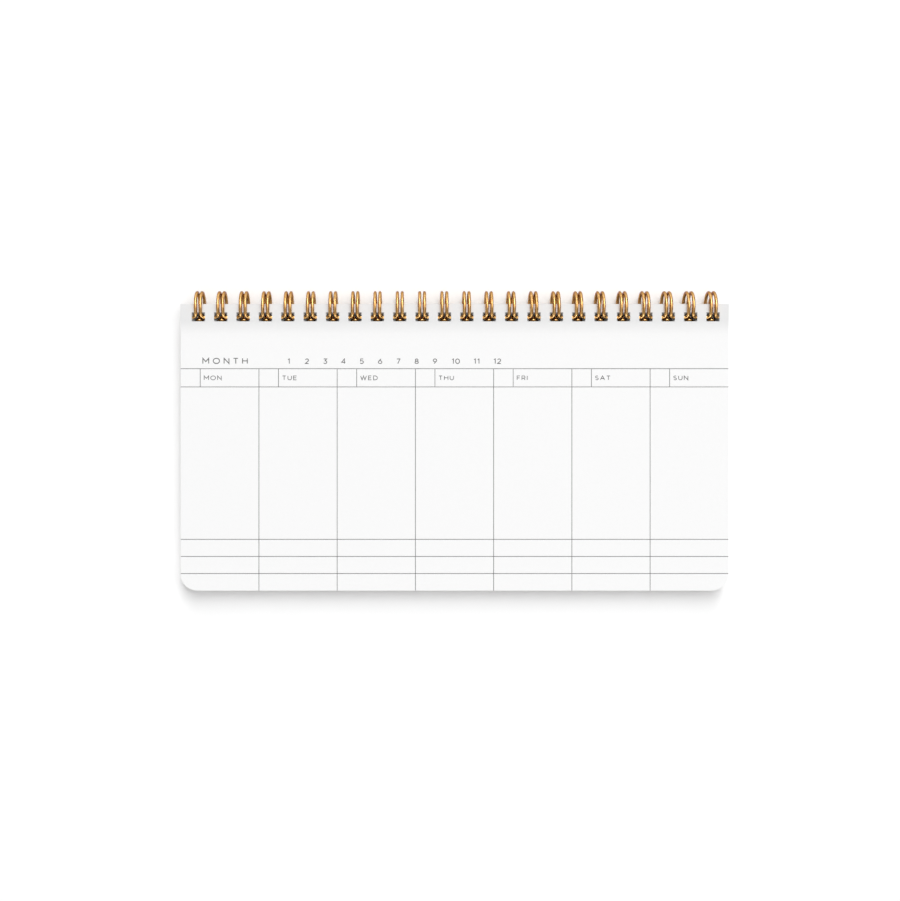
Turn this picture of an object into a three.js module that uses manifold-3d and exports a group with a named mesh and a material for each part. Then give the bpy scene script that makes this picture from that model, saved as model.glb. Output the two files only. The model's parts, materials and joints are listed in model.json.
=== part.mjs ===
// Small desk planner: a pad of ruled leaves on a card back, bound along its top edge
// by one twin-loop wire. Millimetres, +Z up, bound edge towards +Y.
import * as THREE from 'three';
import { mergeVertices } from 'three/addons/utils/BufferGeometryUtils.js';
import Module from 'manifold-3d';

const wasm = await Module();
wasm.setup();

// Pad outline and stack
const PAD_WIDTH = 207.5;
const PAD_HEIGHT = 108.5;
const CORNER_RADIUS = 6.35;
const LEAVES_THICKNESS = 6.5;
const BOARD_THICKNESS = 1.2;
const BOARD_GAP = 0.3;

// Punching
const LOOP_PITCH = 8.467;
const HOLE_WIDTH = 5.05;
const HOLE_MARGIN = 3.0;
const HOLE_CLEARANCE = 0.35;

// Twin-loop wire
const WIRE_DIAMETER = 1.2;
const PRONG_SPACING = 1.85;
const RING_INSET = 0.65;
const RING_CLEARANCE = 0.18;
const STUB_LENGTH = 0.2;
const TIP_GAP = 0.45;

// Seam of the wire, just under the top leaves
const LEAVES_OVER_SEAM = 0.35;
const SEAM_CLEARANCE = 0.3;

// Ruling of the top leaf
const COLUMN_COUNT = 7;
const HEADER_DROP = 24.4;
const HEADER_HEIGHT = 6.9;
const DATE_BOX_WIDTH = 7.4;
const FOOTER_RULE_PITCH = 6.48;
const FOOTER_RULE_COUNT = 3;
const RULE_WIDTH = 0.2;
const RULE_HEIGHT = 0.1;
const RULE_GAP = 0.3;

// Smoothness of the curved stretches
const CORNER_STEPS = 6;
const PRONG_STEPS = 14;
const TIP_STEPS = 4;
const FOOT_STEPS = 3;
const WIRE_SIDES = 6;

// The ring's axis is the pad frame's X axis, and the stack is centred on it in height
const stack = LEAVES_THICKNESS + BOARD_GAP + BOARD_THICKNESS;
const padTop = stack / 2;
const padBottom = -stack / 2;
const boundEdge = RING_INSET;
const freeEdge = boundEdge - PAD_HEIGHT;
const wireRadius = WIRE_DIAMETER / 2;

// The ring clears the inner corner of the punched strip
const stripInner = boundEdge - HOLE_MARGIN;
const ringRadius = Math.hypot(stripInner, padTop) + RING_CLEARANCE + wireRadius;
const ringOuter = ringRadius + wireRadius;
const holeFront = -ringOuter - HOLE_CLEARANCE;

const loopCount = Math.floor(PAD_WIDTH / LOOP_PITCH);
const loopPlaces = [];
for (let i = 0; i < loopCount; i += 1) {
  loopPlaces.push((i - (loopCount - 1) / 2) * LOOP_PITCH);
}

// Height and angle of the seam, where the feet of neighbouring loops join
const seamHeight = padTop - LEAVES_OVER_SEAM - SEAM_CLEARANCE - wireRadius;
const seamAngle = Math.PI - Math.asin(seamHeight / ringRadius);
const seamFront = ringRadius * Math.cos(seamAngle);
const loopLength = 2 * Math.PI * ringRadius - WIRE_DIAMETER - TIP_GAP;

// Distance from the outermost loops' middle to the cut ends of the wire
const wireEnd = HOLE_WIDTH / 2 + STUB_LENGTH;

function outline() {
  const half = PAD_WIDTH / 2;
  const shape = new THREE.Shape();
  shape.moveTo(half, boundEdge);
  shape.lineTo(-half, boundEdge);
  shape.absarc(-half + CORNER_RADIUS, freeEdge + CORNER_RADIUS, CORNER_RADIUS, Math.PI, 1.5 * Math.PI);
  shape.absarc(half - CORNER_RADIUS, freeEdge + CORNER_RADIUS, CORNER_RADIUS, 1.5 * Math.PI, 2 * Math.PI);
  return shape;
}

function plate(bottom, thickness) {
  const settings = { depth: thickness, bevelEnabled: false, curveSegments: CORNER_STEPS };
  const geometry = new THREE.ExtrudeGeometry(outline(), settings);
  geometry.translate(0, 0, bottom);
  return solid(geometry);
}

function box(xLow, yLow, zLow, xHigh, yHigh, zHigh) {
  const geometry = new THREE.BoxGeometry(xHigh - xLow, yHigh - yLow, zHigh - zLow);
  geometry.translate((xLow + xHigh) / 2, (yLow + yHigh) / 2, (zLow + zHigh) / 2);
  return geometry;
}

function solid(geometry) {
  const bare = geometry.clone();
  bare.deleteAttribute('normal');
  bare.deleteAttribute('uv');
  const merged = mergeVertices(bare, 1e-5);
  const mesh = new wasm.Mesh({
    numProp: 3,
    vertProperties: new Float32Array(merged.attributes.position.array),
    triVerts: new Uint32Array(merged.index.array),
  });
  return new wasm.Manifold(mesh);
}

function surface(manifold) {
  const mesh = manifold.getMesh();
  const geometry = new THREE.BufferGeometry();
  geometry.setAttribute('position', new THREE.BufferAttribute(mesh.vertProperties, 3));
  geometry.setIndex(new THREE.BufferAttribute(mesh.triVerts, 1));
  geometry.computeVertexNormals();
  return geometry;
}

function joined(geometries) {
  return geometries.map(solid).reduce((whole, next) => whole.add(next));
}

// The row of holes that the loops pass through
function punching() {
  const half = HOLE_WIDTH / 2;
  return joined(loopPlaces.map((x) => (
    box(x - half, holeFront, 2 * padBottom, x + half, stripInner, 2 * padTop))));
}

// All leaves as one block. A channel runs across the holes for the seam of the wire.
function pageBlock() {
  const room = wireRadius + SEAM_CLEARANCE;
  const end = loopPlaces[loopCount - 1] + wireEnd + SEAM_CLEARANCE;
  const channel = solid(box(-end, seamFront - room, seamHeight - room,
    end, seamFront + room, seamHeight + room));
  const block = plate(padTop - LEAVES_THICKNESS, LEAVES_THICKNESS);
  return surface(block.subtract(punching()).subtract(channel));
}

function backBoard() {
  return surface(plate(padBottom, BOARD_THICKNESS).subtract(punching()));
}

// Week grid: a column for each day, a header row with a date box, and note lines at the foot.
// A thin sheet is opened at every cell, so that only the rules between the cells stay.
function ruledLines() {
  const low = padTop + RULE_GAP;
  const half = PAD_WIDTH / 2;
  const line = RULE_WIDTH / 2;
  const headerTop = boundEdge - HEADER_DROP;
  const rows = [headerTop, headerTop - HEADER_HEIGHT];
  for (let i = FOOTER_RULE_COUNT; i > 0; i -= 1) {
    rows.push(freeEdge + i * FOOTER_RULE_PITCH);
  }
  rows.push(freeEdge - RULE_WIDTH);
  const columns = [-half - RULE_WIDTH];
  for (let i = 1; i < COLUMN_COUNT; i += 1) {
    columns.push(-half + i * PAD_WIDTH / COLUMN_COUNT);
  }
  columns.push(half + RULE_WIDTH);
  const cells = [];
  const open = (left, right, back, front) => {
    cells.push(box(left + line, front + line, low - RULE_HEIGHT,
      right - line, back - line, low + 2 * RULE_HEIGHT));
  };
  for (let c = 0; c < COLUMN_COUNT; c += 1) {
    const date = -half + c * PAD_WIDTH / COLUMN_COUNT + DATE_BOX_WIDTH;
    open(columns[c], date, rows[0], rows[1]);
    open(date, columns[c + 1], rows[0], rows[1]);
    for (let r = 2; r < rows.length; r += 1) {
      open(columns[c], columns[c + 1], rows[r - 1], rows[r]);
    }
  }
  const sheet = solid(box(-half, freeEdge, low, half, headerTop + line, low + RULE_HEIGHT));
  return surface(sheet.subtract(joined(cells)));
}

// The wire's centre line laid out flat, as before it is curled: X along the bound edge,
// Y along the wire's way round the ring, from the seam to the tip of each loop.
// Each foot bends over as much of the hole as lies beside its prong.
function flatWire() {
  const half = PRONG_SPACING / 2;
  const bend = HOLE_WIDTH / 2 - half;
  const shoulder = loopLength - half;
  const line = [];
  const arc = (x, y, radius, from, to, steps) => {
    for (let i = 0; i <= steps; i += 1) {
      const turn = from + (to - from) * i / steps;
      line.push(new THREE.Vector2(x + radius * Math.cos(turn), y + radius * Math.sin(turn)));
    }
  };
  const run = (x, from, to) => {
    for (let i = 1; i < PRONG_STEPS; i += 1) {
      line.push(new THREE.Vector2(x, from + (to - from) * i / PRONG_STEPS));
    }
  };
  line.push(new THREE.Vector2(loopPlaces[0] - wireEnd, 0));
  for (const x of loopPlaces) {
    arc(x - half - bend, bend, bend, -Math.PI / 2, 0, FOOT_STEPS);
    run(x - half, bend, shoulder);
    arc(x, shoulder, half, Math.PI, 0, TIP_STEPS);
    run(x + half, shoulder, bend);
    arc(x + half + bend, bend, bend, Math.PI, 1.5 * Math.PI, FOOT_STEPS);
  }
  line.push(new THREE.Vector2(loopPlaces[loopCount - 1] + wireEnd, 0));
  return line;
}

// The flat line curled round the ring's axis and given a many-sided section
function wireBinding() {
  const line = flatWire();
  const corner = wireRadius / Math.cos(Math.PI / WIRE_SIDES);
  const positions = [];
  line.forEach((point, i) => {
    const before = line[Math.max(i - 1, 0)];
    const after = line[Math.min(i + 1, line.length - 1)];
    const along = after.clone().sub(before).normalize();
    const turn = seamAngle - point.y / ringRadius;
    const outward = new THREE.Vector3(0, Math.cos(turn), Math.sin(turn));
    const onward = new THREE.Vector3(0, Math.sin(turn), -Math.cos(turn));
    const tangent = new THREE.Vector3(along.x, 0, 0).addScaledVector(onward, along.y);
    const sideways = new THREE.Vector3().crossVectors(tangent, outward);
    const centre = new THREE.Vector3(point.x, 0, 0).addScaledVector(outward, ringRadius);
    for (let k = 0; k < WIRE_SIDES; k += 1) {
      const phase = (k + 0.5) * 2 * Math.PI / WIRE_SIDES;
      const place = centre.clone();
      place.addScaledVector(outward, corner * Math.cos(phase));
      place.addScaledVector(sideways, corner * Math.sin(phase));
      positions.push(place.x, place.y, place.z);
    }
  });
  const faces = [];
  const last = (line.length - 1) * WIRE_SIDES;
  for (let start = 0; start < last; start += WIRE_SIDES) {
    for (let k = 0; k < WIRE_SIDES; k += 1) {
      const a = start + k;
      const b = start + (k + 1) % WIRE_SIDES;
      faces.push(a, b, b + WIRE_SIDES, a, b + WIRE_SIDES, a + WIRE_SIDES);
    }
  }
  for (let k = 1; k < WIRE_SIDES - 1; k += 1) {
    faces.push(0, k + 1, k, last, last + k, last + k + 1);
  }
  const geometry = new THREE.BufferGeometry();
  geometry.setAttribute('position', new THREE.Float32BufferAttribute(positions, 3));
  geometry.setIndex(faces);
  geometry.computeVertexNormals();
  return geometry;
}

function part(name, geometry, color, roughness, metalness) {
  const material = new THREE.MeshStandardMaterial({ color, roughness, metalness });
  const mesh = new THREE.Mesh(geometry, material);
  mesh.name = name;
  return mesh;
}

const pad = new THREE.Group();
pad.add(part('back_board', backBoard(), 0x9b9286, 0.9, 0));
pad.add(part('page_block', pageBlock(), 0xf3f4f5, 0.85, 0));
pad.add(part('ruled_lines', ruledLines(), 0x8a8a8a, 0.9, 0));
pad.add(part('wire_binding', wireBinding(), 0xb98a4e, 0.3, 1));

// At rest the loops and the board's free edge touch the table, so the pad leans a little
const reach = -freeEdge;
pad.rotation.x = Math.asin(ringOuter / Math.hypot(reach, padBottom)) - Math.atan2(-padBottom, reach);

// Origin at the middle of the footprint
const planner = new THREE.Group();
planner.add(pad);
planner.updateMatrixWorld(true);
const bounds = new THREE.Box3().setFromObject(planner, true);
const middle = bounds.getCenter(new THREE.Vector3());
pad.position.set(-middle.x, -middle.y, -bounds.min.z);
planner.updateMatrixWorld(true);

export default planner;
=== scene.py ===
"""Small desk planner: white ruled leaves on a card back, bound by a twin-loop wire."""
import json
import math
import random
import bmesh
import bpy
from mathutils import Matrix, Vector


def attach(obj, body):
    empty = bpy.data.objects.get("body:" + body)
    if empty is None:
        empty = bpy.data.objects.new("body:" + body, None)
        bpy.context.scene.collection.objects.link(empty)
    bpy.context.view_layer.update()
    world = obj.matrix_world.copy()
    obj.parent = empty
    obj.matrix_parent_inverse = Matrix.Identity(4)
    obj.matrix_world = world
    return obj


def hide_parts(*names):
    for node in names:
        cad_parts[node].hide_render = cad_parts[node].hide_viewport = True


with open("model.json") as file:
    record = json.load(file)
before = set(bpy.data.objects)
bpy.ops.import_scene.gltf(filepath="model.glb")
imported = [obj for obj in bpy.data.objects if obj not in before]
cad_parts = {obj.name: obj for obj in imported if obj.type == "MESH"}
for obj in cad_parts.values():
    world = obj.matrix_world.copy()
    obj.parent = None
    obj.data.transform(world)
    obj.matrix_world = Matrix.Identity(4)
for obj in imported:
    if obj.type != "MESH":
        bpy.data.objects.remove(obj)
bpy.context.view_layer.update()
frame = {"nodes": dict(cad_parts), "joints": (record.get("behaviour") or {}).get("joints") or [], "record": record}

MM = 0.001

# The pad's own frame: its X axis is the ring's axis, +Y points to the bound edge,
# and Z is square to the leaves. Every size below is in millimetres in that frame,
# apart from the floor's, the lamps' and the bumps', which are in metres.
PIVOT = Vector(frame["joints"][0]["pos_m"])
REST_NORMAL = frame["record"]["mounts"][0]["axis"]
LEAN = math.atan2(REST_NORMAL[1], -REST_NORMAL[2])
PAD_TO_ROW = Matrix.Translation(PIVOT) @ Matrix.Rotation(LEAN, 4, "X") @ Matrix.Scale(MM, 4)
ROW_TO_PAD = PAD_TO_ROW.inverted()


def pad_box(node):
    """Lowest and highest corner of a CAD node in the pad's own frame."""
    points = [ROW_TO_PAD @ v.co for v in frame["nodes"][node].data.vertices]
    low = Vector([min(p[i] for p in points) for i in range(3)])
    high = Vector([max(p[i] for p in points) for i in range(3)])
    return low, high


leaf_low, leaf_high = pad_box("page_block")
board_low, board_high = pad_box("back_board")
HALF_WIDTH = leaf_high.x
BOUND_EDGE = leaf_high.y
FREE_EDGE = leaf_low.y
PAD_TOP = leaf_high.z
BOARD_GAP = 0.02
STACK_FOOT = board_high.z + BOARD_GAP
CORNER_RADIUS = 6.35
CORNER_STEPS = 10

# Binding
LOOP_PITCH = 8.467
LOOP_COUNT = int(2 * HALF_WIDTH / LOOP_PITCH)
LOOP_SHIFT = 0.42
LOOP_PLACES = [LOOP_SHIFT + (i - (LOOP_COUNT - 1) / 2) * LOOP_PITCH for i in range(LOOP_COUNT)]
WIRE_RADIUS = 0.6
PRONG_SPACING = 1.85
RING_RADIUS = 5.42
SEAM_HEIGHT = 3.25
HOLE_WIDTH = 5.05
TIP_GAP = 0.45
END_STUB = 0.15
WIRE_SIDES = 14
BEND_STEPS = 6
STRAND_STEPS = 40
TIP_STEPS = 10

# Leaves. Holes and the seam's slot are given as (start, end) distances from the bound edge.
# Under the top leaf the holes narrow with depth, by HOLE_TAPER at the sides and the start.
LEAF_COUNT = 58
LEAF_THICKNESS = 0.095
TOP_LEAF_THICKNESS = 0.11
TOP_LEAF_GAP = 0.02
LEAF_SLACK = 0.005
TOP_HOLE = (3.1, 6.5)
UNDER_HOLE = (3.35, 6.85)
UNDER_HOLE_WIDTH = 4.7
HOLE_TAPER_DEPTH = 2.2
HOLE_TAPER = (0.6, 0.5)
SEAM_SLOT = (4.2, 5.95)
SEAM_REACH = 0.72
LEAF_SHIFT = 0.07
SEED = 11

# Fall of the top leaf beyond the seam: (distance from the bound edge, slope in degrees),
# and the distances at which the leaves are divided to follow it
LEAF_SLOPES = ((0.0, 2.0), (4.4, 2.0), (6.2, 10.0), (12.6, 0.0))
TOP_LEAF_ROWS = (1.5, 4.4, 5.0, 5.6, 6.2, 6.9, 7.6, 8.3, 9.0, 9.7, 10.4, 11.0)
UNDER_LEAF_ROWS = (5.6, 6.2, 8.5)
STRIP_LIFT = 0.1


def seam_rise(distance):
    """How far the top leaf has risen over the seam at a distance from its bound edge."""
    rise = 0.0
    for (start, slope), (end, next_slope) in zip(LEAF_SLOPES, LEAF_SLOPES[1:]):
        if distance < end:
            near = max(distance, start)
            part = (near - start) / (end - start)
            near_tan = math.tan(math.radians(slope + part * (next_slope - slope)))
            rise += (end - near) * (near_tan + math.tan(math.radians(next_slope))) / 2
    return rise


def seam_angle():
    """The seam's angle on the ring, turning upwards from the side beyond the bound edge."""
    return math.pi - math.asin(SEAM_HEIGHT / RING_RADIUS)


def seam_place():
    """The seam's place along the pad's Y axis."""
    return RING_RADIUS * math.cos(seam_angle())


# The stack is highest where it fills the rings, and the open page lies lower
PAGE_TOP = PAD_TOP + STRIP_LIFT - seam_rise(TOP_HOLE[0])
BEND_END = LEAF_SLOPES[-1][0]

# Ruling, measured from the page's own edges
COLUMN_COUNT = 7
HEADER_DROP = 24.4
HEADER_HEIGHT = 6.9
DATE_BOX_WIDTH = 7.4
FOOTER_RULE_PITCH = 6.48
FOOTER_RULE_COUNT = 3
RULE_WIDTH = 0.24
INK_LIFT = 0.004
INK_THICKNESS = 0.012

# Lettering: distances from the page's left edge and bound edge.
# A stroke's weight and the gaps between letters are shares of the cap height.
DAY_NAMES = ("MON", "TUE", "WED", "THU", "FRI", "SAT", "SUN")
DAY_INDENT = 8.9
DAY_BASELINE = 28.75
DAY_CAP = 1.75
HEADING = "MONTH"
HEADING_INDENT = 8.4
HEADING_BASELINE = 22.6
HEADING_CAP = 2.3
MONTH_COUNT = 12
MONTH_START = 40.9
MONTH_PITCH = 6.93
TWO_DIGIT_START = 9
TWO_DIGIT_PITCH = 7.88
MONTH_CAP = 2.05
STROKE_SHARE = 0.15
LETTER_GAP = 0.45
HEADING_GAP = 0.75
DIGIT_GAP = 0.42
MITRE_LIMIT = 0.35
SAME_POINT = 1e-6

# Paper. Painted shade at the binding: it is darkest up to SHADE_START from the bound edge and plain from SHADE_END
# on.
PAPER_TINT = (0.893, 0.893, 0.893)
SHADE_START = 3.0
SHADE_END = 12.0
BINDING_SHADE = 0.875

# Painted shade: the cut paper inside the holes is darkened, standing in for the shade in them. Its strip reaches a
# margin past the holes, and stays clear of the leaves' sides and of the lowest leaf's foot.
HOLE_SHADE = 0.45
HOLE_SHADE_MARGIN = 0.15
HOLE_SHADE_INDENT = 1.0
HOLE_SHADE_LIFT = 0.3

# Plating, with painted light and shade that make it brighter over the leaves than on the outer back of the rings:
# (distance beyond the bound edge, tone) at either end of the change
WIRE_DEEP = (0.69, 0.38, 0.125)
WIRE_PALE = (0.79, 0.47, 0.17)
WIRE_EDGE_TINT = (0.3, 0.12, 0.03, 1.0)
WIRE_ROUGHNESS = (0.14, 0.28)
WIRE_PAINTED_LIGHT = ((-1.0, 1.25), (2.5, 0.86))

# Chipboard and ink
BOARD_DARK = (0.30, 0.262, 0.222)
BOARD_MIDDLE = (0.375, 0.335, 0.288)
BOARD_LIGHT = (0.44, 0.40, 0.35)
BOARD_FLECK = (0.16, 0.13, 0.11, 1.0)
BOARD_EDGE_WIDTH = 0.12
BOARD_EDGE_ANGLE = 40
INK_DARK = 0.11
INK_LIGHT = 0.16

# Camera straight above the page, as in the photograph: its frame is 900 pixels wide
PIXEL_MM = 0.3789
PAGE_LEFT_PX = 180.7
PAGE_TOP_PX = 304.3
IMAGE_WIDTH_PX = 900
IMAGE_HEIGHT_PX = 901
CAMERA_COLUMN_PX = 413
CAMERA_HEIGHT = 500.0
CAMERA_CLIP = 10.0
SENSOR_MM = 36.0

# Pale floor, a hair below whatever stands on it
FLOOR_SIZE = 6.0
FLOOR_DROP = 0.00002
FLOOR_TINT = (0.985, 0.985, 0.985, 1.0)

# Soft light: a long lamp overhead, towards the bound edge, a broad one on the right,
# and a low one before the free edge
KEY_PLACE = (0.4, 3.08, 3.94)
KEY_SIZE = (1.6, 4.8)
KEY_POWER = 94.0
FILL_PLACE = (2.8, 0.9, 3.9)
FILL_SIZE = (3.6, 3.6)
FILL_POWER = 50.0
FRONT_PLACE = (0.0, -2.4, 0.9)
FRONT_SIZE = (1.8, 0.4)
FRONT_POWER = 7.2

# Surroundings: (how far a direction points sideways, brightness), and the strength of the
# whole towards the free edge and towards the bound edge
SKY_LEVELS = ((0.2, 1.0), (0.36, 0.42), (0.52, 0.24), (0.7, 0.1), (1.0, 0.03))
FRONT_STRENGTH = 0.6
BACK_STRENGTH = 1.95


def finish_piece(name, bm, material, body, stands_for=()):
    """Turns a pad-frame bmesh into a piece that rides on a body."""
    bm.transform(PAD_TO_ROW)
    mesh = bpy.data.meshes.new(name)
    bm.to_mesh(mesh)
    bm.free()
    piece = bpy.data.objects.new(name, mesh)
    bpy.context.scene.collection.objects.link(piece)
    mesh.materials.append(material)
    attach(piece, body)
    if stands_for:
        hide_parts(*stands_for)


def new_material(name):
    """An empty node material with a Principled shader."""
    material = bpy.data.materials.new(name)
    material.use_nodes = True
    nodes = material.node_tree.nodes
    nodes.clear()
    output = nodes.new("ShaderNodeOutputMaterial")
    shader = nodes.new("ShaderNodeBsdfPrincipled")
    material.node_tree.links.new(shader.outputs["BSDF"], output.inputs["Surface"])
    return material, nodes, material.node_tree.links, shader


def grey(level):
    return (level, level, level)


def noise(nodes, links, coords, scale, detail, roughness):
    node = nodes.new("ShaderNodeTexNoise")
    node.inputs["Scale"].default_value = scale
    node.inputs["Detail"].default_value = detail
    node.inputs["Roughness"].default_value = roughness
    links.new(coords, node.inputs["Vector"])
    return node.outputs["Fac"]


def ramp(nodes, links, value, stops):
    """Colour from a value, by stops of (place, colour)."""
    node = nodes.new("ShaderNodeValToRGB")
    links.new(value, node.inputs["Fac"])
    elements = node.color_ramp.elements
    while len(elements) < len(stops):
        elements.new(0.5)
    for element, (place, color) in zip(elements, stops):
        element.position = place
        element.color = (*color, 1.0)
    return node.outputs["Color"]


def bump(nodes, links, shader, height, strength, distance):
    node = nodes.new("ShaderNodeBump")
    node.inputs["Strength"].default_value = strength
    node.inputs["Distance"].default_value = distance
    links.new(height, node.inputs["Height"])
    links.new(node.outputs["Normal"], shader.inputs["Normal"])


def compare(nodes, links, operation, value, limit):
    """1 where the value passes the limit and 0 elsewhere."""
    node = nodes.new("ShaderNodeMath")
    node.operation = operation
    links.new(value, node.inputs[0])
    node.inputs[1].default_value = limit
    return node.outputs["Value"]


def multiply(nodes, links, first, second):
    node = nodes.new("ShaderNodeMath")
    node.operation = "MULTIPLY"
    links.new(first, node.inputs[0])
    links.new(second, node.inputs[1])
    return node.outputs["Value"]


def scale_color(nodes, links, color, tone):
    node = nodes.new("ShaderNodeVectorMath")
    node.operation = "SCALE"
    links.new(color, node.inputs["Vector"])
    links.new(tone, node.inputs["Scale"])
    return node.outputs["Vector"]


def split_axes(nodes, links, coords):
    node = nodes.new("ShaderNodeSeparateXYZ")
    links.new(coords, node.inputs["Vector"])
    return node


def row_y(distance):
    """The frame's Y at a distance inside the bound edge."""
    return PIVOT.y + (BOUND_EDGE - distance) * MM


def hole_tone(nodes, links, place):
    """Painted shade: darkens the paper's cut edges inside the holes and leaves the rest as it is."""
    near = row_y(UNDER_HOLE[0] - HOLE_SHADE_MARGIN)
    far = row_y(UNDER_HOLE[1] + HOLE_SHADE_MARGIN)
    side = (HALF_WIDTH - HOLE_SHADE_INDENT) * MM
    foot = PIVOT.z + (STACK_FOOT + HOLE_SHADE_LIFT) * MM
    inside = compare(nodes, links, "LESS_THAN", place.outputs["Y"], near)
    for axis, operation, limit in (
            ("Y", "GREATER_THAN", far), ("X", "GREATER_THAN", -side),
            ("X", "LESS_THAN", side), ("Z", "GREATER_THAN", foot)):
        test = compare(nodes, links, operation, place.outputs[axis], limit)
        inside = multiply(nodes, links, inside, test)
    tone = nodes.new("ShaderNodeMapRange")
    tone.inputs["To Min"].default_value = 1.0
    tone.inputs["To Max"].default_value = HOLE_SHADE
    links.new(inside, tone.inputs["Value"])
    return tone.outputs["Result"]


def paper_material(name, punched):
    """Smooth writing paper: a faint mottle, a very fine tooth, a soft painted shade at the binding, and painted
    shade in the holes when punched.
    """
    material, nodes, links, shader = new_material(name)
    coords = nodes.new("ShaderNodeTexCoord").outputs["Object"]
    fibres = noise(nodes, links, coords, scale=900.0, detail=4.0, roughness=0.6)
    light = tuple(c * 1.004 for c in PAPER_TINT)
    dark = tuple(c * 0.992 for c in PAPER_TINT)
    color = ramp(nodes, links, fibres, [(0.3, dark), (0.7, light)])
    place = split_axes(nodes, links, coords)
    # Painted shade: the paper darkens towards the bound edge
    shade = nodes.new("ShaderNodeMapRange")
    shade.interpolation_type = "SMOOTHSTEP"
    shade.inputs["From Min"].default_value = row_y(SHADE_END)
    shade.inputs["From Max"].default_value = row_y(SHADE_START)
    shade.inputs["To Min"].default_value = 1.0
    shade.inputs["To Max"].default_value = BINDING_SHADE
    links.new(place.outputs["Y"], shade.inputs["Value"])
    tone = shade.outputs["Result"]
    # Painted shade in the holes, for the punched stack only
    if punched:
        tone = multiply(nodes, links, tone, hole_tone(nodes, links, place))
    links.new(scale_color(nodes, links, color, tone), shader.inputs["Base Color"])
    shader.inputs["Roughness"].default_value = 0.82
    shader.inputs["Specular IOR Level"].default_value = 0.25
    tooth = noise(nodes, links, coords, scale=5200.0, detail=3.0, roughness=0.6)
    bump(nodes, links, shader, tooth, strength=0.12, distance=0.00002)
    return material


def wire_material():
    """Lacquered wire between brass and light copper, with faint marks, dull patches, and painted light brighter
    over the leaves than on the rings' outer back.
    """
    material, nodes, links, shader = new_material("plated_wire")
    coords = nodes.new("ShaderNodeTexCoord").outputs["Object"]
    patches = noise(nodes, links, coords, scale=260.0, detail=3.0, roughness=0.55)
    color = ramp(nodes, links, patches, [(0.3, WIRE_DEEP), (0.7, WIRE_PALE)])
    place = split_axes(nodes, links, coords)
    # Painted light and shade: brighter over the leaves, darker on the outer back of the rings
    tone = nodes.new("ShaderNodeMapRange")
    for end, (distance, level) in zip(("Min", "Max"), WIRE_PAINTED_LIGHT):
        tone.inputs["From " + end].default_value = row_y(-distance)
        tone.inputs["To " + end].default_value = level
    links.new(place.outputs["Y"], tone.inputs["Value"])
    toned = scale_color(nodes, links, color, tone.outputs["Result"])
    links.new(toned, shader.inputs["Base Color"])
    shader.inputs["Metallic"].default_value = 1.0
    shader.inputs["Specular Tint"].default_value = WIRE_EDGE_TINT
    shader.inputs["Coat Weight"].default_value = 0.35
    shader.inputs["Coat Roughness"].default_value = 0.1
    smear = noise(nodes, links, coords, scale=1400.0, detail=4.0, roughness=0.6)
    gloss = nodes.new("ShaderNodeMapRange")
    gloss.inputs["To Min"].default_value = WIRE_ROUGHNESS[0]
    gloss.inputs["To Max"].default_value = WIRE_ROUGHNESS[1]
    links.new(smear, gloss.inputs["Value"])
    links.new(gloss.outputs["Result"], shader.inputs["Roughness"])
    bump(nodes, links, shader, smear, strength=0.08, distance=0.00002)
    return material


def board_material():
    """Grey-brown chipboard: pressed fibres, flecks and a fine rough tooth."""
    material, nodes, links, shader = new_material("chipboard")
    coords = nodes.new("ShaderNodeTexCoord").outputs["Object"]
    pulp = noise(nodes, links, coords, scale=420.0, detail=6.0, roughness=0.65)
    base = ramp(nodes, links, pulp, [
        (0.25, BOARD_DARK), (0.55, BOARD_MIDDLE), (0.8, BOARD_LIGHT)])
    flecks = noise(nodes, links, coords, scale=2600.0, detail=2.0, roughness=0.7)
    fleck_mask = ramp(nodes, links, flecks, [(0.66, grey(0.0)), (0.74, grey(1.0))])
    mix = nodes.new("ShaderNodeMix")
    mix.data_type = "RGBA"
    links.new(fleck_mask, mix.inputs["Factor"])
    links.new(base, mix.inputs["A"])
    mix.inputs["B"].default_value = BOARD_FLECK
    links.new(mix.outputs["Result"], shader.inputs["Base Color"])
    shader.inputs["Roughness"].default_value = 0.92
    shader.inputs["Specular IOR Level"].default_value = 0.2
    bump(nodes, links, shader, pulp, strength=0.3, distance=0.00012)
    return material


def ink_material():
    """Grey litho ink, a little uneven where the paper's tooth takes less of it."""
    material, nodes, links, shader = new_material("grey_ink")
    coords = nodes.new("ShaderNodeTexCoord").outputs["Object"]
    cover = noise(nodes, links, coords, scale=3000.0, detail=2.0, roughness=0.5)
    color = ramp(nodes, links, cover, [(0.3, grey(INK_DARK)), (0.7, grey(INK_LIGHT))])
    links.new(color, shader.inputs["Base Color"])
    shader.inputs["Roughness"].default_value = 0.7
    return material


def corner_points(shift, trim):
    """The leaf's outline below the bound rows: right side, round corners, left side."""
    points = []
    centre_y = FREE_EDGE + trim + CORNER_RADIUS
    for side in (1, -1):
        centre_x = side * (HALF_WIDTH - trim - CORNER_RADIUS)
        for step in range(CORNER_STEPS + 1):
            part = step / CORNER_STEPS if side > 0 else 1 - step / CORNER_STEPS
            turn = part * math.pi / 2
            points.append((centre_x + side * CORNER_RADIUS * math.cos(turn) + shift[0],
                           centre_y - CORNER_RADIUS * math.sin(turn) + shift[1]))
    return points


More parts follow.
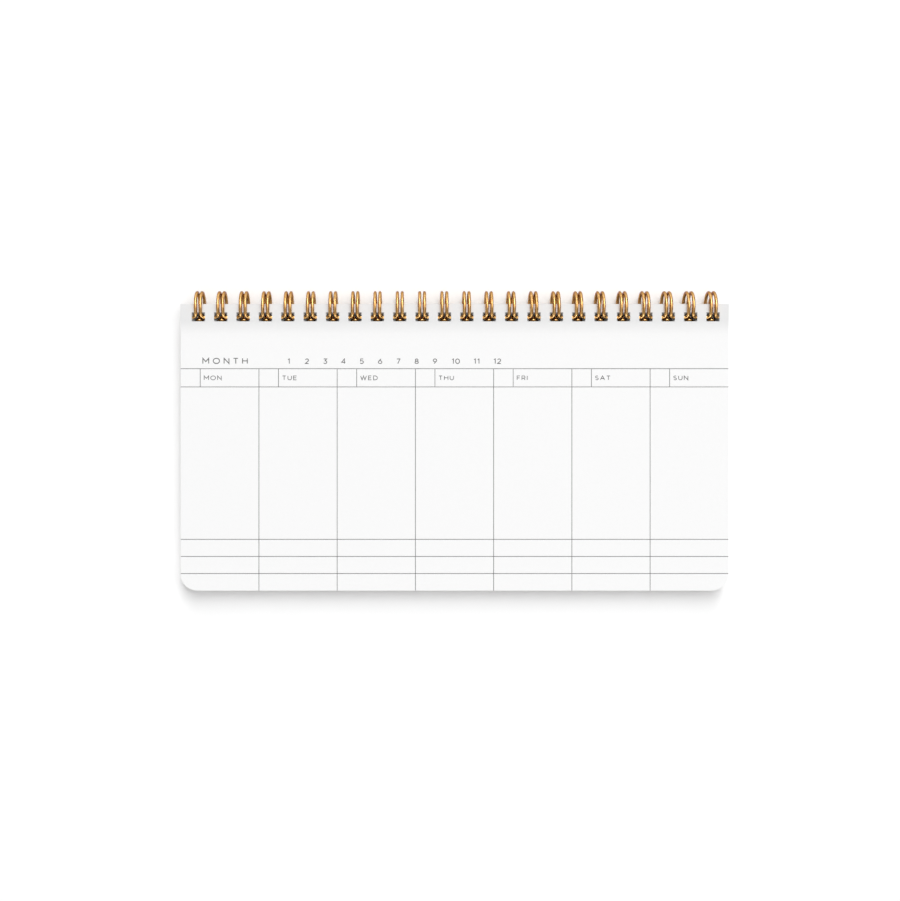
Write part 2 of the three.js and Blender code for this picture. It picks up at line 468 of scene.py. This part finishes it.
def add_leaf(bm, top, share, hole, hole_width, slot, rows, thickness,
             shift=(0.0, 0.0), trim=0.0):
    """One leaf with its row of holes. share is how much of the rise it takes."""
    half = hole_width / 2
    columns = [-HALF_WIDTH + trim]
    for x in LOOP_PLACES:
        columns += [x - half, x + half]
    columns.append(HALF_WIDTH - trim)
    distances = sorted(set([0.0, *hole, *slot, BEND_END, *rows]))
    grid = {}

    def vertex(i, j):
        if (i, j) not in grid:
            height = top + share * seam_rise(distances[j])
            place = (columns[i] + shift[0], BOUND_EDGE - distances[j] + shift[1], height)
            grid[i, j] = bm.verts.new(place)
        return grid[i, j]

    faces = []
    for j in range(len(distances) - 1):
        middle = (distances[j] + distances[j + 1]) / 2
        punched = hole[0] < middle < hole[1]
        slotted = bool(slot) and slot[0] < middle < slot[1]
        for i in range(len(columns) - 1):
            in_hole = punched and i % 2 == 1
            in_slot = slotted and 0 < i < len(columns) - 2
            if not in_hole and not in_slot:
                corners = (vertex(i, j), vertex(i, j + 1), vertex(i + 1, j + 1), vertex(i + 1, j))
                faces.append(bm.faces.new(corners))
    last = len(distances) - 1
    loop = [vertex(i, last) for i in range(len(columns))]
    rim = [bm.verts.new((x, y, top)) for x, y in corner_points(shift, trim)]
    faces.append(bm.faces.new(list(reversed(loop + rim))))
    grown = bmesh.ops.extrude_face_region(bm, geom=faces, use_keep_orig=True)
    lower = [item for item in grown["geom"] if isinstance(item, bmesh.types.BMVert)]
    bmesh.ops.translate(bm, verts=lower, vec=(0.0, 0.0, -thickness))


def top_leaf(material):
    """The open page, with the widest holes."""
    bm = bmesh.new()
    add_leaf(bm, PAGE_TOP, 1.0, TOP_HOLE, HOLE_WIDTH, (), TOP_LEAF_ROWS, TOP_LEAF_THICKNESS)
    bmesh.ops.recalc_face_normals(bm, faces=bm.faces)
    finish_piece("top_leaf", bm, material, "pages", ["page_block"])


def leaf_stack(material):
    """The leaves under the top one, each a touch out of line with the next."""
    rng = random.Random(SEED)
    bm = bmesh.new()
    ceiling = PAGE_TOP - TOP_LEAF_THICKNESS - TOP_LEAF_GAP
    pitch = (ceiling - STACK_FOOT) / LEAF_COUNT
    seam_distance = BOUND_EDGE - seam_place()
    for i in range(LEAF_COUNT):
        top = STACK_FOOT + (i + 1) * pitch - LEAF_SLACK
        share = (top - STACK_FOOT) / (PAGE_TOP - STACK_FOOT)
        level = top - LEAF_THICKNESS / 2 + share * seam_rise(seam_distance)
        slot = SEAM_SLOT if abs(level - SEAM_HEIGHT) < SEAM_REACH else ()
        taper = min((ceiling - top) / HOLE_TAPER_DEPTH, 1.0)
        hole = (UNDER_HOLE[0] + taper * HOLE_TAPER[1], UNDER_HOLE[1])
        hole_width = UNDER_HOLE_WIDTH - 2 * taper * HOLE_TAPER[0]
        shift = (rng.uniform(-1, 1) * LEAF_SHIFT, -rng.uniform(0, 1) * LEAF_SHIFT)
        add_leaf(bm, top, share, hole, hole_width, slot, UNDER_LEAF_ROWS, LEAF_THICKNESS,
                 shift, LEAF_SHIFT)
    bmesh.ops.recalc_face_normals(bm, faces=bm.faces)
    finish_piece("leaf_stack", bm, material, "pages", ["page_block"])


def flat_wire():
    """The wire's centre line before it is curled: (place along the edge, way round the ring)."""
    half = PRONG_SPACING / 2
    bend = HOLE_WIDTH / 2 - half
    length = 2 * math.pi * RING_RADIUS - 2 * WIRE_RADIUS - TIP_GAP
    shoulder = length - half
    line = []

    def arc(x, y, radius, start, end, steps):
        for i in range(steps + 1):
            turn = start + (end - start) * i / steps
            line.append((x + radius * math.cos(turn), y + radius * math.sin(turn)))

    def run(x, start, end, steps):
        for i in range(1, steps):
            line.append((x, start + (end - start) * i / steps))

    stub = HOLE_WIDTH / 2 + END_STUB
    line.append((LOOP_PLACES[0] - stub, 0.0))
    for x in LOOP_PLACES:
        arc(x - half - bend, bend, bend, -math.pi / 2, 0.0, BEND_STEPS)
        run(x - half, bend, shoulder, STRAND_STEPS)
        arc(x, shoulder, half, math.pi, 0.0, TIP_STEPS)
        run(x + half, shoulder, bend, STRAND_STEPS)
        arc(x + half + bend, bend, bend, math.pi, 1.5 * math.pi, BEND_STEPS)
    line.append((LOOP_PLACES[-1] + stub, 0.0))
    return line


def wire_loops(material):
    """The flat line curled into rings and given a round section."""
    line = flat_wire()
    bm = bmesh.new()
    rings = []
    for i, (x, way) in enumerate(line):
        before = line[max(i - 1, 0)]
        after = line[min(i + 1, len(line) - 1)]
        along = Vector((after[0] - before[0], after[1] - before[1])).normalized()
        turn = seam_angle() - way / RING_RADIUS
        outward = Vector((0.0, math.cos(turn), math.sin(turn)))
        onward = Vector((0.0, math.sin(turn), -math.cos(turn)))
        tangent = Vector((along.x, 0.0, 0.0)) + onward * along.y
        sideways = tangent.cross(outward)
        centre = Vector((x, 0.0, 0.0)) + outward * RING_RADIUS
        ring = []
        for k in range(WIRE_SIDES):
            phase = 2 * math.pi * k / WIRE_SIDES
            offset = outward * math.cos(phase) + sideways * math.sin(phase)
            ring.append(bm.verts.new(centre + offset * WIRE_RADIUS))
        rings.append(ring)
    for first, second in zip(rings, rings[1:]):
        for k in range(WIRE_SIDES):
            n = (k + 1) % WIRE_SIDES
            face = bm.faces.new((first[k], first[n], second[n], second[k]))
            face.smooth = True
    bm.faces.new(list(reversed(rings[0])))
    bm.faces.new(rings[-1])
    bmesh.ops.recalc_face_normals(bm, faces=bm.faces)
    finish_piece("wire_loops", bm, material, "pages", ["wire_binding"])


def add_block(bm, low, high):
    """A thin block between two corners."""
    size = high - low
    made = bmesh.ops.create_cube(bm, size=1.0)["verts"]
    bmesh.ops.scale(bm, verts=made, vec=size)
    bmesh.ops.translate(bm, verts=made, vec=(low + high) / 2)


def add_rule(bm, x0, y0, x1, y1):
    """A printed line between two corners on the open page."""
    low = Vector((x0, y0, PAGE_TOP + INK_LIFT))
    high = Vector((x1, y1, PAGE_TOP + INK_LIFT + INK_THICKNESS))
    add_block(bm, low, high)


def ruling(material):
    """The week grid, printed on the top leaf."""
    bm = bmesh.new()
    half = RULE_WIDTH / 2
    header_top = BOUND_EDGE - HEADER_DROP
    header_foot = header_top - HEADER_HEIGHT
    across = [header_top, header_foot]
    across += [FREE_EDGE + i * FOOTER_RULE_PITCH for i in range(1, FOOTER_RULE_COUNT + 1)]
    for y in across:
        add_rule(bm, -HALF_WIDTH, y - half, HALF_WIDTH, y + half)
    for i in range(COLUMN_COUNT):
        left = -HALF_WIDTH + i * 2 * HALF_WIDTH / COLUMN_COUNT
        date = left + DATE_BOX_WIDTH
        add_rule(bm, date - half, header_foot + half, date + half, header_top - half)
        if i > 0:
            add_rule(bm, left - half, FREE_EDGE, left + half, header_top)
    finish_piece("ruling", bm, material, "pages", ["ruled_lines"])


def arc_points(x, y, rx, ry, start, end, steps=12):
    """Points of an elliptic arc, with angles in degrees."""
    points = []
    for i in range(steps + 1):
        turn = math.radians(start + (end - start) * i / steps)
        points.append((x + rx * math.cos(turn), y + ry * math.sin(turn)))
    return points


# Plain geometric capitals and figures: (width, strokes), in shares of the cap height
GLYPHS = {
    "A": (0.92, [[(0, 0), (0.46, 1), (0.92, 0)],
                 [(0.16, 0.32), (0.76, 0.32)]]),
    "D": (0.84, [[(0, 0), (0, 1), (0.36, 1)]
                 + arc_points(0.36, 0.5, 0.48, 0.5, 80, -80)
                 + [(0.36, 0), (0, 0)]]),
    "E": (0.64, [[(0.64, 1), (0, 1), (0, 0), (0.64, 0)],
                 [(0, 0.51), (0.57, 0.51)]]),
    "F": (0.6, [[(0.6, 1), (0, 1), (0, 0)],
                [(0, 0.5), (0.53, 0.5)]]),
    "H": (0.78, [[(0, 0), (0, 1)],
                 [(0.78, 0), (0.78, 1)],
                 [(0, 0.51), (0.78, 0.51)]]),
    "I": (0.0, [[(0, 0), (0, 1)]]),
    "M": (0.96, [[(0, 0), (0, 1), (0.48, 0.36), (0.96, 1), (0.96, 0)]]),
    "N": (0.8, [[(0, 0), (0, 1), (0.8, 0), (0.8, 1)]]),
    "O": (1.04, [arc_points(0.52, 0.5, 0.52, 0.5, 0, 360, 32)]),
    "R": (0.68, [[(0, 0), (0, 1), (0.38, 1)]
                 + arc_points(0.38, 0.71, 0.29, 0.29, 80, -80)
                 + [(0.38, 0.42), (0, 0.42)],
                 [(0.34, 0.42), (0.68, 0)]]),
    "S": (0.64, [arc_points(0.32, 0.745, 0.28, 0.255, 35, 255)
                 + arc_points(0.32, 0.255, 0.31, 0.255, 75, -145)]),
    "T": (0.74, [[(0, 1), (0.74, 1)],
                 [(0.37, 1), (0.37, 0)]]),
    "U": (0.76, [[(0, 1)]
                 + arc_points(0.38, 0.38, 0.38, 0.38, 180, 360, 16)
                 + [(0.76, 1)]]),
    "W": (1.24, [[(0, 1), (0.31, 0), (0.62, 1), (0.93, 0), (1.24, 1)]]),
    "0": (0.7, [arc_points(0.35, 0.5, 0.35, 0.5, 0, 360, 32)]),
    "1": (0.24, [[(0, 0.84), (0.24, 1), (0.24, 0)]]),
    "2": (0.6, [arc_points(0.3, 0.71, 0.28, 0.29, 160, -40)
                + [(0.0, 0.0), (0.6, 0)]]),
    "3": (0.6, [[(0.03, 1), (0.57, 1), (0.27, 0.61)]
                + arc_points(0.28, 0.305, 0.31, 0.305, 80, -150)]),
    "4": (0.68, [[(0.5, 0), (0.5, 1), (0, 0.27), (0.68, 0.27)]]),
    "5": (0.6, [[(0.55, 1), (0.1, 1), (0.06, 0.55)]
                + arc_points(0.28, 0.31, 0.31, 0.31, 110, -150)]),
    "6": (0.62, [arc_points(0.31, 0.31, 0.31, 0.31, 0, 360, 28),
                 [(0.45, 1), (0.06, 0.48)]]),
    "7": (0.58, [[(0, 1), (0.58, 1), (0.18, 0)]]),
    "8": (0.6, [arc_points(0.3, 0.755, 0.24, 0.245, 0, 360, 24),
                arc_points(0.3, 0.265, 0.3, 0.265, 0, 360, 28)]),
    "9": (0.62, [arc_points(0.31, 0.69, 0.31, 0.31, 0, 360, 28),
                 [(0.17, 0), (0.56, 0.52)]]),
}


def add_stroke(bm, points, weight):
    """A flat printed stroke of even weight along the points, mitred at its corners."""
    closed = (Vector(points[0]) - Vector(points[-1])).length < SAME_POINT
    line = [Vector(p) for p in (points[:-1] if closed else points)]
    count = len(line)
    left, right = [], []
    for i, point in enumerate(line):
        before = line[i - 1] if closed or i > 0 else None
        after = line[(i + 1) % count] if closed or i < count - 1 else None
        into = (point - before).normalized() if before is not None else (after - point).normalized()
        out = (after - point).normalized() if after is not None else into
        normal = Vector((-into.y - out.y, into.x + out.x)).normalized()
        lean = max(normal.dot(Vector((-into.y, into.x))), MITRE_LIMIT)
        offset = normal * (weight / 2 / lean)
        left.append(point + offset)
        right.append(point - offset)
    low = PAGE_TOP + INK_LIFT
    high = low + INK_THICKNESS
    rings = []
    for a, b in zip(left, right):
        rings.append([bm.verts.new((a.x, a.y, high)), bm.verts.new((b.x, b.y, high)),
                      bm.verts.new((b.x, b.y, low)), bm.verts.new((a.x, a.y, low))])
    pairs = list(zip(rings, rings[1:]))
    if closed:
        pairs.append((rings[-1], rings[0]))
    else:
        bm.faces.new(list(reversed(rings[0])))
        bm.faces.new(rings[-1])
    for first, second in pairs:
        for k in range(4):
            n = (k + 1) % 4
            bm.faces.new((first[k], first[n], second[n], second[k]))


def text_width(text, cap, gap):
    return cap * (sum(GLYPHS[c][0] for c in text) + gap * (len(text) - 1))


def add_text(bm, text, x, y, cap, gap):
    """Letters from x, on the baseline y. Strokes stay inside the cap height."""
    weight = STROKE_SHARE * cap
    inner = cap - weight
    for letter in text:
        width, strokes = GLYPHS[letter]
        for stroke in strokes:
            line = [(x + px * cap, y + weight / 2 + py * inner) for px, py in stroke]
            add_stroke(bm, line, weight)
        x += (width + gap) * cap


def lettering(material):
    """Day names in the header, and a heading with the numbers of the months above it."""
    bm = bmesh.new()
    column = 2 * HALF_WIDTH / COLUMN_COUNT
    for i, name in enumerate(DAY_NAMES):
        x = -HALF_WIDTH + i * column + DAY_INDENT
        add_text(bm, name, x, BOUND_EDGE - DAY_BASELINE, DAY_CAP, LETTER_GAP)
    baseline = BOUND_EDGE - HEADING_BASELINE
    add_text(bm, HEADING, -HALF_WIDTH + HEADING_INDENT, baseline, HEADING_CAP, HEADING_GAP)
    centre = -HALF_WIDTH + MONTH_START
    for month in range(1, MONTH_COUNT + 1):
        figures = str(month)
        width = text_width(figures, MONTH_CAP, DIGIT_GAP)
        add_text(bm, figures, centre - width / 2, baseline, MONTH_CAP, DIGIT_GAP)
        centre += MONTH_PITCH if month < TWO_DIGIT_START else TWO_DIGIT_PITCH
    bmesh.ops.recalc_face_normals(bm, faces=bm.faces)
    finish_piece("lettering", bm, material, "pages")


def dress_board(material):
    """The board keeps its CAD form, with its cut edges very slightly rounded."""
    board = frame["nodes"]["back_board"]
    board.data.materials.clear()
    board.data.materials.append(material)
    soft_edge = board.modifiers.new("soft_edge", "BEVEL")
    soft_edge.width = BOARD_EDGE_WIDTH * MM
    soft_edge.segments = 2
    soft_edge.limit_method = "ANGLE"
    soft_edge.angle_limit = math.radians(BOARD_EDGE_ANGLE)


def add_camera():
    """Looks straight down, from above the column where the rings are seen edge on."""
    x = -HALF_WIDTH + (CAMERA_COLUMN_PX - PAGE_LEFT_PX) * PIXEL_MM
    y = BOUND_EDGE - (IMAGE_HEIGHT_PX / 2 - PAGE_TOP_PX) * PIXEL_MM
    data = bpy.data.cameras.new("camera")
    data.sensor_width = SENSOR_MM
    data.sensor_fit = "HORIZONTAL"
    data.lens = SENSOR_MM * CAMERA_HEIGHT / (IMAGE_WIDTH_PX * PIXEL_MM)
    data.shift_x = (IMAGE_WIDTH_PX / 2 - CAMERA_COLUMN_PX) / IMAGE_WIDTH_PX
    data.clip_start = CAMERA_CLIP * MM
    camera = bpy.data.objects.new("camera", data)
    bpy.context.scene.collection.objects.link(camera)
    camera.matrix_world = (
        Matrix.Translation(PAD_TO_ROW @ Vector((x, y, PAGE_TOP + CAMERA_HEIGHT)))
        @ Matrix.Rotation(LEAN, 4, "X"))
    bpy.context.scene.camera = camera


def add_floor():
    """A white table top under the pad."""
    half = FLOOR_SIZE / 2
    mesh = bpy.data.meshes.new("floor")
    mesh.from_pydata(
        [(-half, -half, 0), (half, -half, 0), (half, half, 0), (-half, half, 0)],
        [], [(0, 1, 2, 3)])
    floor = bpy.data.objects.new("floor", mesh)
    floor.location.z = -FLOOR_DROP
    bpy.context.scene.collection.objects.link(floor)
    material, _, _, shader = new_material("white_table")
    shader.inputs["Base Color"].default_value = FLOOR_TINT
    shader.inputs["Roughness"].default_value = 0.9
    shader.inputs["Specular IOR Level"].default_value = 0.1
    mesh.materials.append(material)


def area_light(name, place, size, power):
    """An oval lamp that faces the middle of the floor."""
    data = bpy.data.lights.new(name, "AREA")
    data.shape = "ELLIPSE"
    data.size, data.size_y = size
    data.energy = power
    light = bpy.data.objects.new(name, data)
    light.location = place
    light.rotation_euler = (-Vector(place)).to_track_quat("-Z", "Y").to_euler()
    bpy.context.scene.collection.objects.link(light)


def studio_world():
    """Soft white surroundings, darker to the left and right and brighter behind."""
    world = bpy.data.worlds.new("studio")
    world.use_nodes = True
    nodes = world.node_tree.nodes
    links = world.node_tree.links
    direction = split_axes(nodes, links, nodes.new("ShaderNodeTexCoord").outputs["Generated"])
    side = nodes.new("ShaderNodeMath")
    side.operation = "ABSOLUTE"
    links.new(direction.outputs["X"], side.inputs[0])
    stops = [(place, grey(level)) for place, level in SKY_LEVELS]
    bright = ramp(nodes, links, side.outputs["Value"], stops)
    links.new(bright, nodes["Background"].inputs["Color"])
    level = nodes.new("ShaderNodeMapRange")
    level.inputs["From Min"].default_value = -1.0
    level.inputs["To Min"].default_value = FRONT_STRENGTH
    level.inputs["To Max"].default_value = BACK_STRENGTH
    links.new(direction.outputs["Y"], level.inputs["Value"])
    links.new(level.outputs["Result"], nodes["Background"].inputs["Strength"])
    return world


ink = ink_material()
top_leaf(paper_material("writing_paper", punched=False))
leaf_stack(paper_material("stack_paper", punched=True))
wire_loops(wire_material())
ruling(ink)
lettering(ink)
dress_board(board_material())

add_camera()
add_floor()
area_light("key", KEY_PLACE, KEY_SIZE, KEY_POWER)
area_light("fill", FILL_PLACE, FILL_SIZE, FILL_POWER)
area_light("front", FRONT_PLACE, FRONT_SIZE, FRONT_POWER)
bpy.context.scene.world = studio_world()
bpy.context.scene.view_settings.view_transform = "Standard"

bpy.context.view_layer.update()
